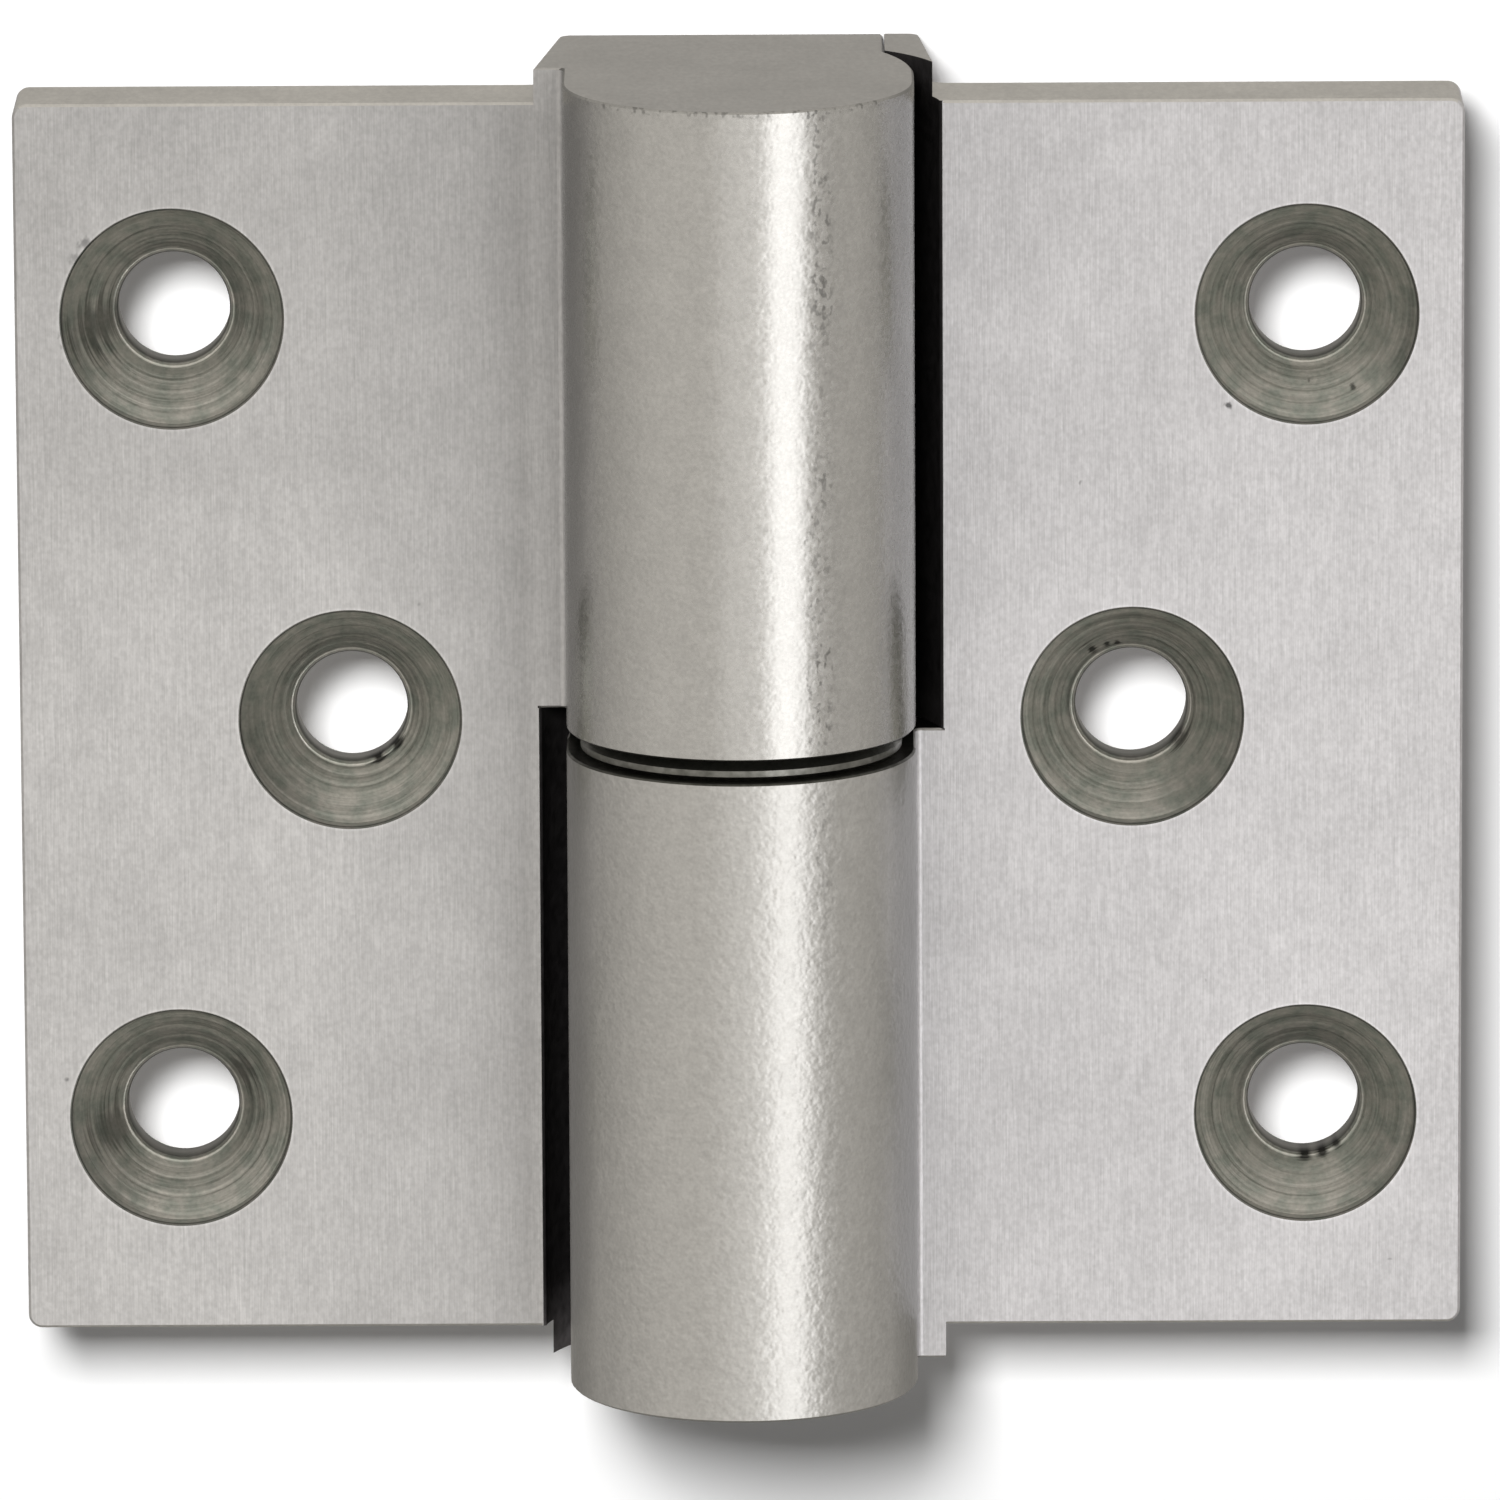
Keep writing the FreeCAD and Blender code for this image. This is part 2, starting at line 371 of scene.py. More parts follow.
@dataclass(frozen=True)
class DrawnSteel(Finish):
    """The leaves' faces: drawn steel with fine upright lines, faint cloudiness and a few dark pits.

    The tones are painted shade on the face towards the knuckles and towards the top, and a painted
    highlight on the strip right beside them. Places are in millimetres and depths of relief in metres.
    """

    # Painted light and shade: darker towards the knuckles and the top, brighter on the strip beside the
    # knuckles.
    inner_painted_shade: float = 0.93
    strip_painted_highlight: float = 1.0
    top_painted_shade: float = 0.93
    inner_x: Span = (13.0, 25.0)
    strip_x: Span = (11.7, 12.5)
    top_z: Span = (2.0, 32.0)
    lines: Layer = Layer(
        (1 / (0.11 * MM), 1 / (0.11 * MM), 1 / (3.2 * MM)), 0.89, 1.1, 2.0, 0.6, NEARLY_ALL
    )
    line_depth: float = 0.008 * MM
    gloss_span: Span = (0.2, 0.8)
    grain: Layer = Layer((4200.0, 4200.0, 3000.0), 0.93, 1.07, 1.0)
    grain_depth: float = 0.005 * MM
    clouds: Layer = Layer(alike(1 / (9.0 * MM)), 0.95, 1.04)
    blotches: Layer = Layer((620.0, 620.0, 420.0), 0.97, 1.03)
    pit_spacing: float = 3.4 * MM
    pit_edge: Span = (0.03, 0.06)
    pit_tone: float = 0.5
    pitted: Layer = Layer(alike(700.0), 0.0, 1.0, 0.0, span=(0.68, 0.72))
    ragged: Span = (0.7, 1.3)
    # Painted highlight: a bright line just outside each seat's mouth, where the edge would catch light.
    halo_radius: Span = (6.5, 6.62)
    halo_painted_highlight: float = 1.14
    front_depth: Span = (0.3, 0.6)

    def marks(self, graph: Graph, grain: Socket) -> Socket:
        """Mark the front face alone with smudges, and with a painted highlight, a bright line round each
        seat.

        Args:
            graph: The material's graph.
            grain: The grain's pattern, which breaks up the smudges.

        Returns:
            The shade that the marks give.
        """
        marks = graph.smudged(1.0, graph.spread(grain, MOST, *self.ragged))
        halo = graph.spread(graph.seat_radius(), self.halo_radius, self.halo_painted_highlight, 1.0)
        marks = graph.product(marks, halo)
        on_front = graph.spread(graph.seat_depth(), self.front_depth, 1.0, 0.0)
        return graph.sum(graph.product(graph.sum(marks, -1.0), on_front), 1.0)

    def pits(self, graph: Graph) -> Socket:
        """Scatter a few small pits, which are the middles of cells.

        Args:
            graph: The material's graph.

        Returns:
            The share of a pit, from 0 to 1.
        """
        feeds = {"Vector": graph.stretched(alike(1 / self.pit_spacing)), "Scale": 1.0}
        middle = graph.add("ShaderNodeTexVoronoi", feeds).outputs[0]
        return graph.product(graph.spread(middle, self.pit_edge, 1.0, 0.0), graph.shade(self.pitted))

    def material(self) -> bpy.types.Material:
        """Make the material.

        Returns:
            The new material.
        """
        material, graph = new_material(self.name)
        lines, grain = graph.noise(self.lines), graph.noise(self.grain)
        shade = graph.product(
            graph.shade(self.lines, lines),
            graph.shade(self.clouds),
            graph.shade(self.blotches),
            graph.shade(self.grain, grain),
            graph.fade(self.pits(graph), self.pit_tone),
            self.marks(graph, grain),
            # Painted shade towards the knuckles and the top, painted highlight on the strip beside the
            # knuckles.
            graph.spread(graph.away(Axis.X), self.inner_x, self.inner_painted_shade, 1.0),
            graph.spread(graph.away(Axis.X), self.strip_x, self.strip_painted_highlight, 1.0),
            graph.spread(graph.along(Axis.Z), self.top_z, 1.0, self.top_painted_shade),
        )
        relief = graph.bump(grain, self.grain_depth, graph.bump(lines, self.line_depth))
        roughness = self.uneven(graph, lines, self.gloss_span)
        self.metal(graph, graph.shaded(graph.even(self.colour), shade), roughness, relief)
        return material


@dataclass(frozen=True)
class SatinSteel(Finish):
    """The knuckles: ground steel with a fine mottled grain that breaks up the edge of a highlight.

    A line of dark specks runs down the front where the front highlight's right edge lies, and a few
    more lie at the upper rim. The flanks are darker as painted shade. Places are in millimetres and
    depths of relief in metres.
    """

    unevenness: Span = (-0.04, 0.05)
    fine: Layer = Layer(alike(1 / (0.42 * MM)), 0.94, 1.05, 1.0, span=NEARLY_ALL)
    fine_depth: float = 0.018 * MM
    mottle: Layer = Layer(alike(1 / (1.6 * MM)), 0.97, 1.03, 3.0)
    mottle_depth: float = 0.013 * MM
    dust: Layer = Layer(alike(5200.0), 0.94, 1.06)
    # Painted shade: the knuckle darkens towards its flanks, where it mirrors the shaded corners beside the
    # leaves.
    flank_painted_shade: float = 0.5
    flank_x: Span = (8.4, 9.8)
    speck_tone: float = 0.5
    spots: Layer = Layer((3100.0, 3100.0, 2300.0), 0.0, 1.0, 1.0, span=(0.54, 0.66))
    # A line of dark specks down the front, 4.5 mm right of the axis, where the front highlight's right edge
    # lies.
    speck_x: float = 4.5
    speck_edge: Span = (0.35, 0.85)
    speck_foot: Span = (-11.0, -4.0)
    speck_foot_share: float = 0.1
    wander: Layer = Layer(alike(400.0), -0.5, 0.5, 1.0, span=(0.2, 0.8))
    breaks: Layer = Layer(alike(160.0), 0.35, 1.0, 1.0, span=(0.35, 0.6))
    rim_z: Span = (37.6, 37.75)
    rim_share: float = 0.8
    front_y: Span = (-9.0, -7.0)

    def specks(self, graph: Graph) -> Socket:
        """Scatter dark specks in a line down the front, and a few at the rim.

        Args:
            graph: The material's graph.

        Returns:
            The share of a speck, from 0 to 1.
        """
        offset = graph.sum(graph.sum(graph.along(Axis.X), graph.shade(self.wander)), -self.speck_x)
        line = graph.product(
            graph.spread(graph.result("ABSOLUTE", offset), self.speck_edge, 1.0, 0.0),
            graph.spread(graph.along(Axis.Z), self.speck_foot, self.speck_foot_share, 1.0),
            graph.shade(self.breaks),
        )
        where = graph.sum(line, graph.spread(graph.along(Axis.Z), self.rim_z, 0.0, self.rim_share))
        front = graph.spread(graph.along(Axis.Y), self.front_y, 1.0, 0.0)
        return graph.product(where, graph.shade(self.spots), front)

    def material(self) -> bpy.types.Material:
        """Make the material.

        Returns:
            The new material.
        """
        material, graph = new_material(self.name)
        fine, mottle = graph.noise(self.fine), graph.noise(self.mottle)
        shade = graph.product(
            graph.shade(self.fine, fine),
            graph.shade(self.mottle, mottle),
            graph.shade(self.dust),
            graph.fade(self.specks(graph), self.speck_tone),
            # Painted shade on the flanks.
            graph.spread(graph.away(Axis.X), self.flank_x, 1.0, self.flank_painted_shade),
        )
        relief = graph.bump(mottle, self.mottle_depth, graph.bump(fine, self.fine_depth))
        roughness = self.uneven(graph, fine, NEARLY_ALL)
        self.metal(graph, graph.shaded(graph.even(self.colour), shade), roughness, relief)
        return material


@dataclass(frozen=True)
class SawnSteel(Finish):
    """The sawn and milled ends of the leaves and knuckles: matt, mid grey, with faint cutter marks."""

    cuts: Layer = Layer((1 / (4.2 * MM), 1 / (0.35 * MM), 900.0), 0.985, 1.015)
    cut_depth: float = 0.0008 * MM
    grain: Layer = Layer((3600.0, 1500.0, 3600.0), 0.92, 1.08, 2.0, 0.6)
    grain_depth: float = 0.004 * MM
    clouds: Layer = Layer((210.0, 120.0, 210.0), 0.94, 1.06, 3.0, 0.55)

    def material(self) -> bpy.types.Material:
        """Make the material.

        Returns:
            The new material.
        """
        material, graph = new_material(self.name)
        cuts, grain = graph.noise(self.cuts), graph.noise(self.grain)
        shade = graph.product(
            graph.shade(self.cuts, cuts), graph.shade(self.grain, grain), graph.shade(self.clouds)
        )
        relief = graph.bump(grain, self.grain_depth, graph.bump(cuts, self.cut_depth))
        roughness = self.uneven(graph, grain)
        self.metal(graph, graph.shaded(graph.even(self.colour), shade), roughness, relief)
        return material


@dataclass(frozen=True)
class TurnedSteel(Finish):
    """Faces cut by a turning tool: grey-green, darker where coolant has dried."""

    unevenness: Span = (-0.06, 0.08)
    stain: Colour = (0.16, 0.17, 0.14)
    stains: Layer = Layer(alike(1 / (1.2 * MM)), 0.0, 0.8, 3.0, 0.6, (0.42, 0.75))
    grain: Layer = Layer(alike(4200.0), 0.9, 1.1)
    grain_depth: float = 0.008 * MM

    def material(self) -> bpy.types.Material:
        """Make the material.

        Returns:
            The new material.
        """
        material, graph = new_material(self.name)
        stains, grain = graph.noise(self.stains), graph.noise(self.grain)
        tinted = graph.tint(graph.shade(self.stains, stains), self.colour, self.stain)
        shaded = graph.shaded(tinted, graph.shade(self.grain, grain))
        self.metal(graph, shaded, self.uneven(graph, stains), graph.bump(grain, self.grain_depth))
        return material


@dataclass(frozen=True)
class SeatSteel(TurnedSteel):
    """The screw seats: turned rings, painted shade at the mouth, a painted highlight at the small end,
    smudges.

    Radii and depths of places are in millimetres from the hole's axis and the leaf's front face.
    """

    stains: Layer = Layer(alike(1 / (1.2 * MM)), 0.0, 0.8, 3.0, 0.6, (0.4, 0.65))
    grain: Layer = Layer(alike(4200.0), 0.92, 1.08)
    ring_width: float = 0.17
    ring_arcs: float = 110.0
    ring_detail: float = 3.0
    ring_shade: Span = (-0.28, 0.26)
    ring_depth: float = 0.018 * MM
    patches: Layer = Layer(alike(320.0), 0.25, 1.0, span=(0.38, 0.62))
    ragged_span: Span = (0.35, 0.65)
    ragged: Span = (0.5, 1.7)
    # Painted shade at the mouth's recess and down the hole's wall, and a painted highlight at the small
    # end.
    mouth_radius: Span = (6.2, 6.28)
    mouth_depth: Span = (0.14, 0.26)
    mouth_painted_shade: float = 0.35
    end_radius: Span = (3.4, 3.5)
    end_painted_light: float = 1.3
    wall_depth: Span = (3.78, 3.9)
    wall_painted_shade: float = 0.2

    def zones(self, graph: Graph) -> Socket:
        """Paint shade at the mouth and on the hole's wall, and a highlight at the small end.

        Args:
            graph: The material's graph.

        Returns:
            The shade.
        """
        radius, depth = graph.seat_radius(), graph.seat_depth()
        near_mouth = graph.spread(radius, self.mouth_radius, 0.0, 1.0)
        at_mouth = graph.product(near_mouth, graph.spread(depth, self.mouth_depth, 1.0, 0.0))
        # Painted shade at the mouth and on the wall, painted highlight at the small end.
        return graph.product(
            graph.fade(at_mouth, self.mouth_painted_shade),
            graph.spread(radius, self.end_radius, self.end_painted_light, 1.0),
            graph.spread(depth, self.wall_depth, 1.0, self.wall_painted_shade),
        )

    def rings(self, graph: Graph) -> Socket:
        """Lay out the rings that the turning tool left, which change slowly on their way round.

        Args:
            graph: The material's graph.

        Returns:
            The rings' pattern, from 0 to 1.
        """
        place = graph.add("ShaderNodeSeparateXYZ", {0: graph.stretched(alike(self.ring_arcs))})
        across = graph.product(graph.seat_radius(), 1 / self.ring_width)
        feeds = {0: across, 1: place.outputs[Axis.X.value], 2: place.outputs[Axis.Z.value]}
        feeds = {"Vector": graph.add("ShaderNodeCombineXYZ", feeds).outputs[0], "Scale": 1.0}
        return graph.add("ShaderNodeTexNoise", {**feeds, "Detail": self.ring_detail}).outputs[0]

    def material(self) -> bpy.types.Material:
        """Make the material.

        Returns:
            The new material.
        """
        material, graph = new_material(self.name)
        rings, grain = self.rings(graph), graph.noise(self.grain)
        tinted = graph.tint(graph.shade(self.stains), self.colour, self.stain)
        ringed = graph.product(graph.spread(rings, MOST, *self.ring_shade), graph.shade(self.patches))
        shade = graph.product(graph.sum(ringed, 1.0), graph.shade(self.grain, grain))
        shade = graph.smudged(shade, graph.spread(rings, self.ragged_span, *self.ragged))
        shade = graph.product(shade, self.zones(graph))
        relief = graph.bump(rings, self.ring_depth, graph.bump(grain, self.grain_depth))
        self.metal(graph, graph.shaded(tinted, shade), self.uneven(graph, rings), relief)
        return material


@dataclass(frozen=True)
class PocketShadeFinish(Finish):
    """The pocket round a knuckle: painted shade, near black, and paler at its lower end as painted light,
    where light gets in.
    """

    unevenness: Span = (-0.1, 0.1)
    flakes: Layer = Layer(alike(1 / (0.7 * MM)), 0.6, 1.4, 4.0, 0.6)
    flake_depth: float = 0.02 * MM
    # Painted light: the pocket is paler towards its lower end, where light gets in.
    end_painted_light: float = 6.0
    end_z: Span = (-37.5, -33.5)
    shine: float = 0.15

    def material(self) -> bpy.types.Material:
        """Make the material.

        Returns:
            The new material.
        """
        material, graph = new_material(self.name)
        flakes = graph.noise(self.flakes)
        # Painted light at the pocket's lower end, over the near-black painted shade.
        painted_light_towards_end = graph.spread(graph.along(Axis.Z), self.end_z, self.end_painted_light, 1.0)
        shade = graph.product(graph.shade(self.flakes, flakes), painted_light_towards_end)
        feeds = {
            "Base Color": graph.shaded(graph.even(self.colour), shade),
            "Metallic": 0.0,
            "Roughness": self.uneven(graph, flakes),
            "Specular IOR Level": self.shine,
            "Normal": graph.bump(flakes, self.flake_depth),
        }
        shader = graph.add("ShaderNodeBsdfPrincipled", feeds)
        graph.add("ShaderNodeOutputMaterial", {"Surface": shader.outputs[0]})
        return material


class Region(Enum):
    """The kinds of surface on a leaf."""

    DRAWN = "the plate's faces and the outside of the block"
    RIM = "the broken edge of the knuckle's outer end"
    KNUCKLE = "the round outside of the knuckle"
    SEAT = "the screw seats and holes"
    END = "the ends of the knuckle, block and lip"
    EDGE = "the ends of the plate"
    POCKET = "the hollow that the other knuckle turns in"
    # Painted shade: these ends get a near-black finish for the shade in the slit.
    GREASED = "the ends that face the washer"
    BORE = "the bore that holds the pin"


REGIONS = list(Region)
SHARED_FINISHES: dict[Region, Finish] = {
    # Painted shade: the rim bevel is darker than the knuckle, so that it catches no bright line.
    Region.RIM: SatinSteel("rim_painted_shade_steel", (0.4, 0.396, 0.385), 0.4),
    Region.SEAT: SeatSteel("screw_seat_steel", (0.465, 0.455, 0.425), 0.36, stain=(0.29, 0.32, 0.29)),
    Region.END: SawnSteel("knuckle_end_steel", (0.458, 0.453, 0.446), 0.5),
    Region.EDGE: SawnSteel("leaf_edge_steel", (0.6, 0.59, 0.57), 0.5),
    # Painted shade: the pocket round the other knuckle is painted near black for the shade in the deep
    # hollow.
    Region.POCKET: PocketShadeFinish("pocket_painted_shade", (0.013, 0.012, 0.012), 0.6),
    # Painted shade: the knuckles' ends beside the washer are painted near black for the shade in the narrow
    # slit.
    Region.GREASED: TurnedSteel("slit_painted_shade_steel", (0.1, 0.1, 0.09), 0.4, stain=(0.03, 0.03, 0.025)),
    Region.BORE: TurnedSteel("bored_steel", (0.42, 0.42, 0.40), 0.3),
}
UPPER_KNUCKLE = SatinSteel("upper_knuckle_steel", (0.53, 0.525, 0.515), 0.26)
LOWER_KNUCKLE = SatinSteel("lower_knuckle_steel", (0.54, 0.535, 0.525), 0.34, fine_depth=0.036 * MM)
# Painted light and shade: one drawn steel in two copies, the frame leaf's paler for the brighter light on
# its side.
DOOR_DRAWN_SHADED = DrawnSteel(
    "door_drawn_steel_shaded", (0.595, 0.593, 0.602), 0.5, inner_painted_shade=0.86, strip_painted_highlight=1.18, top_painted_shade=0.85
)
FRAME_DRAWN_LIT = DrawnSteel("frame_drawn_steel_lit", (0.64, 0.638, 0.665), 0.5, inner_painted_shade=0.98)
PIN_GRAIN = Layer(alike(1 / (0.2 * MM)), 0.94, 1.05, 1.0, span=NEARLY_ALL)
OFF_THE_PIN = 99.0
PIN_STEEL = SatinSteel("pin_steel_ground", (0.55, 0.55, 0.54), 0.22, fine=PIN_GRAIN, speck_x=OFF_THE_PIN)
# Painted shade: the washer's steel is darkened for the shade in the slit between the knuckles.
WASHER_SHADE_STEEL = TurnedSteel("washer_painted_shade_steel", (0.24, 0.24, 0.225), 0.35, stain=(0.08, 0.08, 0.07))


class Side(Enum):
    """Which leaf a piece belongs to, with the sign that turns the frame leaf onto the door leaf."""

    DOOR = 1
    FRAME = -1


def bridge(bm: bmesh.types.BMesh, lower: Row, upper: Row) -> None:
    """Join two closed rows of vertices with four-sided faces.

    Args:
        bm: The mesh.
        lower: One row.
        upper: The other row, with as many vertices.
    """
    for step in range(len(lower)):
        after = (step + 1) % len(lower)
        bm.faces.new((lower[step], lower[after], upper[after], upper[step]))


@dataclass(frozen=True)
class Seat:
    """The tool that cuts one countersunk screw hole, with the rings that a turning tool leaves.

    Sizes are in millimetres. Depths start at the leaf's front face. The skin keeps the tool just
    outside the solid's own hole, and the overshoot and the run_out carry it clear of both faces.
    """

    x: float
    z: float
    seed: int
    mouth_radius: float = 6.3
    mouth_break: float = 0.13
    mouth_curve: float = 0.3
    recess: float = 0.8
    small_radius: float = 3.44
    step_radius: float = 0.06
    step_drop: float = 0.03
    hole_break: float = 0.12
    hole_radius: float = 3.2
    plate: float = 6.0
    rear_break: float = 0.18
    rear_start: float = 0.15
    rear_drop: float = 0.03
    skin: float = 0.015
    overshoot: float = 0.3
    run_out: float = 1.0
    ring_pitch: float = 0.11
    ring_depth: float = 0.035
    steps: int = 144

    def profile(self) -> list[Pair]:
        """Draw the tool's outline, with a ring for each turn of the cone.

        Returns:
            The outline as (radius, depth) points, from front to back.
        """
        draw = random.Random(self.seed)
        mouth, hole = self.mouth_radius + self.skin, self.hole_radius + self.skin
        curve = self.mouth_curve * self.mouth_break
        points = [
            (mouth + self.mouth_break + self.overshoot, -self.overshoot),
            (mouth + self.mouth_break, 0.0),
            (mouth + curve, curve),
            (mouth, self.mouth_break),
            (mouth, self.recess),
        ]
        cone = self.mouth_radius - self.small_radius
        count = int(cone * math.sqrt(2) / self.ring_pitch)
        for index in range(1, count):
            depth = self.recess + cone * index / count
            radius = mouth - cone * index / count
            points.append((radius + draw.uniform(0, self.ring_depth) * (index % 2), depth))
        land = self.recess + cone
        points += [
            (self.small_radius + self.skin, land),
            (self.hole_radius + self.step_radius, land + self.step_drop),
            (hole, land + self.hole_break),
            (hole, self.plate - self.rear_start),
            (hole + self.rear_break, self.plate + self.rear_drop),
            (hole + self.rear_break, self.plate + self.run_out),
        ]
        return points

    def row(self, bm: bmesh.types.BMesh, radius: float, y: float) -> Row:
        """Add one closed row of vertices round the hole's axis.

        Args:
            bm: The mesh.
            radius: The row's radius, in millimetres.
            y: Its place along the axis, in millimetres.

        Returns:
            The new vertices.
        """
        row = []
        for step in range(self.steps):
            angle = math.tau * step / self.steps
            x, z = self.x + radius * math.cos(angle), self.z + radius * math.sin(angle)
            row.append(bm.verts.new(Vector((x, y, z)) * MM))
        return row

    def cut_into(self, bm: bmesh.types.BMesh, front: float) -> None:
        """Add the tool's closed surface to a mesh.

        Args:
            bm: The mesh that collects the tools.
            front: The y of the leaf's front face, in millimetres.
        """
        rows = [self.row(bm, radius, front + depth) for radius, depth in self.profile()]
        for lower, upper in zip(rows, rows[1:]):
            bridge(bm, lower, upper)
        bm.faces.new(rows[0])
        bm.faces.new(rows[-1])


@dataclass
class Leaf:
    """One leaf with its knuckle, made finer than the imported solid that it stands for.

    Sizes are in millimetres, places are measured as on the door leaf, from the pin axis, and angles
    are in degrees. Reaches and radii are distances from the pin axis up to which, or beyond which,
    a kind of surface lies. Facings are the shares of a face's direction along an axis.
    """

    node: str
    body: str
    side: Side
    seed: int
    knuckle: SatinSteel
    drawn: DrawnSteel
    front: float = 5.0
    mouth_radius: float = 6.45
    seat_y: Span = (5.01, 11.02)
    plate_x: float = -11.7
    inner_end_z: float = 0.75
    outer_end_z: float = 34.0
    washer_reach: float = 10.1
    rim_radius: float = 9.7
    end_radius: float = 5.9
    bore_reach: float = 6.6
    knuckle_reach: float = 10.6
    knuckle_back: float = 5.3
    pocket_reach: float = 13.5
    pocket_top_z: float = 1.0
    lip_y: float = 2.0
    edge_break: float = 0.05
    merge_distance: float = 0.001
    flat_angle: float = 0.3
    sharp_angle: float = 20.0
    smooth_angle: float = 48.0
    facing: float = 0.6
    facing_back: float = 0.9
    facing_aslant: Span = (0.2, 0.98)
    facing_side: float = 0.5

    def holes(self) -> list[Pair]:
        """Return the screw holes' places as (x, z) on the door leaf."""
        (outer, height), (middle, level) = OUTER_HOLE, MIDDLE_HOLE
        return [(-outer, height), (-middle, level), (-outer, -height)]

    def seats(self) -> list[Seat]:
        """Return the three screw holes' tools."""
        turn = self.side.value
        return [Seat(turn * x, turn * z, self.seed + index) for index, (x, z) in enumerate(self.holes())]

    @staticmethod
    def as_object(bm: bmesh.types.BMesh, name: str) -> bpy.types.Object:
        """Turn a working copy of a mesh into an object, and free the copy.

        Args:
            bm: The working copy.
            name: The object's name.

        Returns:
            The object, linked to the scene.
        """
        mesh = bpy.data.meshes.new(name)
        bm.to_mesh(mesh)
        bm.free()
        thing = bpy.data.objects.new(name, mesh)
        bpy.context.scene.collection.objects.link(thing)
        return thing

    def blank(self) -> bpy.types.Object:
        """Copy the solid's surface, make its flat faces whole and break its edges.

        Returns:
            The copy.
        """
        bm = bmesh.new()
        bm.from_mesh(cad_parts[self.node].data)
        bmesh.ops.remove_doubles(bm, verts=bm.verts, dist=self.merge_distance * MM)
        flat, sharp = math.radians(self.flat_angle), math.radians(self.sharp_angle)
        bmesh.ops.dissolve_limit(bm, angle_limit=flat, verts=bm.verts, edges=bm.edges)
        edges = [edge for edge in bm.edges if edge.calc_face_angle(0.0) > sharp]
        shape = {"segments": 2, "profile": 0.5, "affect": "EDGES", "clamp_overlap": True}
        bmesh.ops.bevel(bm, geom=edges, offset=self.edge_break * MM, **shape)
        return self.as_object(bm, self.node + "_blank")

    def tools(self) -> bpy.types.Object:
        """Make the tools of all three screw holes as one object.

        Returns:
            The tools.
        """
        bm = bmesh.new()
        for seat in self.seats():
            seat.cut_into(bm, self.front + PIN_AXIS_Y)
        bmesh.ops.recalc_face_normals(bm, faces=bm.faces)
        return self.as_object(bm, self.node + "_tools")

    def build(self) -> bpy.types.Object:
        """Cut and dress the leaf and let it ride on its body.

        Returns:
            The finished leaf.
        """
        blank, tools = self.blank(), self.tools()
        cut = blank.modifiers.new("screw_holes", "BOOLEAN")
        cut.operation, cut.solver, cut.object = "DIFFERENCE", "EXACT", tools
        graph = bpy.context.evaluated_depsgraph_get()
        mesh = bpy.data.meshes.new_from_object(blank.evaluated_get(graph))
        for spare in (blank, tools):
            bpy.data.objects.remove(spare)
        leaf = bpy.data.objects.new(self.node + "_steel", mesh)
        bpy.context.scene.collection.objects.link(leaf)
        self.dress(mesh)
        mesh.shade_smooth()
        mesh.set_sharp_from_angle(angle=math.radians(self.smooth_angle))
        weigh = leaf.modifiers.new("even_shading", "WEIGHTED_NORMAL")
        weigh.keep_sharp = True
        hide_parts(self.node)
        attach(leaf, self.body)
        return leaf

    def finish(self, region: Region) -> Finish:
        """Return a region's finish, with this leaf's own ones for its knuckle and its drawn faces."""
        own: dict[Region, Finish] = {Region.KNUCKLE: self.knuckle, Region.DRAWN: self.drawn}
        return own.get(region) or SHARED_FINISHES[region]

    def dress(self, mesh: bpy.types.Mesh) -> None:
        """Give each face of the leaf the finish of its region.

        Args:
            mesh: The leaf's mesh.
        """
        mesh.materials.clear()
        for region in REGIONS:
            mesh.materials.append(self.finish(region).shared())
        for face in mesh.polygons:
            face.material_index = REGIONS.index(self.region(face.center / MM, face.normal))

    def in_hole(self, x: float, z: float) -> bool:
        """Tell whether a place on the door leaf lies inside the mouth of a screw hole."""
        return any(math.hypot(x - left, z - up) < self.mouth_radius for left, up in self.holes())

    def region(self, centre: Vector, normal: Vector) -> Region:
        """Tell which kind of surface a face belongs to.

        Args:
            centre: The face's centre in the hinge's frame, in millimetres.
            normal: The face's direction.

        Returns:
            The region.
        """
        turn = self.side.value
        x, y, z = centre.x * turn, centre.y - PIN_AXIS_Y, centre.z * turn
        towards = Vector((normal.x * turn, normal.y, normal.z * turn))
        from_axis, upwards = math.hypot(x, y), abs(towards.z)
        on_plate, outer_end = x < self.plate_x, abs(z) > self.outer_end_z
        within = self.seat_y[0] < y < self.seat_y[1]
        if on_plate and within and towards.y < self.facing_back and self.in_hole(x, z):
            return Region.SEAT
        if abs(z) < self.inner_end_z and upwards > self.facing and from_axis < self.washer_reach:
            return Region.GREASED
        aslant = self.facing_aslant[0] < upwards < self.facing_aslant[1]
        if outer_end and aslant and y < self.front and from_axis > self.rim_radius:
            return Region.RIM
        if upwards > self.facing and (outer_end or from_axis > self.end_radius):
            return Region.EDGE if on_plate else Region.END
        if from_axis < self.bore_reach:
            return Region.BORE
        if y < self.knuckle_back and from_axis < self.knuckle_reach and z > 0:
            return Region.KNUCKLE
        inward = towards.x * x + towards.y * y < 0
        if z < self.pocket_top_z and inward and from_axis < self.pocket_reach and y > self.front:
            return Region.POCKET
        if z > 0 and x > 0 and y > self.lip_y and towards.x > self.facing_side:
            return Region.POCKET
        return Region.DRAWN


@dataclass
class PackedPiece:
    """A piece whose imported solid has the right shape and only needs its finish."""

    node: str
    finish: Finish

    def build(self) -> bpy.types.Object:
        """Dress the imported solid.

        Returns:
            The dressed piece.
        """
        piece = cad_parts[self.node]
        piece.data.materials.clear()
        piece.data.materials.append(self.finish.material())
        return piece


@dataclass
class Pin(PackedPiece):
    """The pin: a ground rod with rounded ends."""

    node: str = "hinge_pin"
    finish: Finish = PIN_STEEL


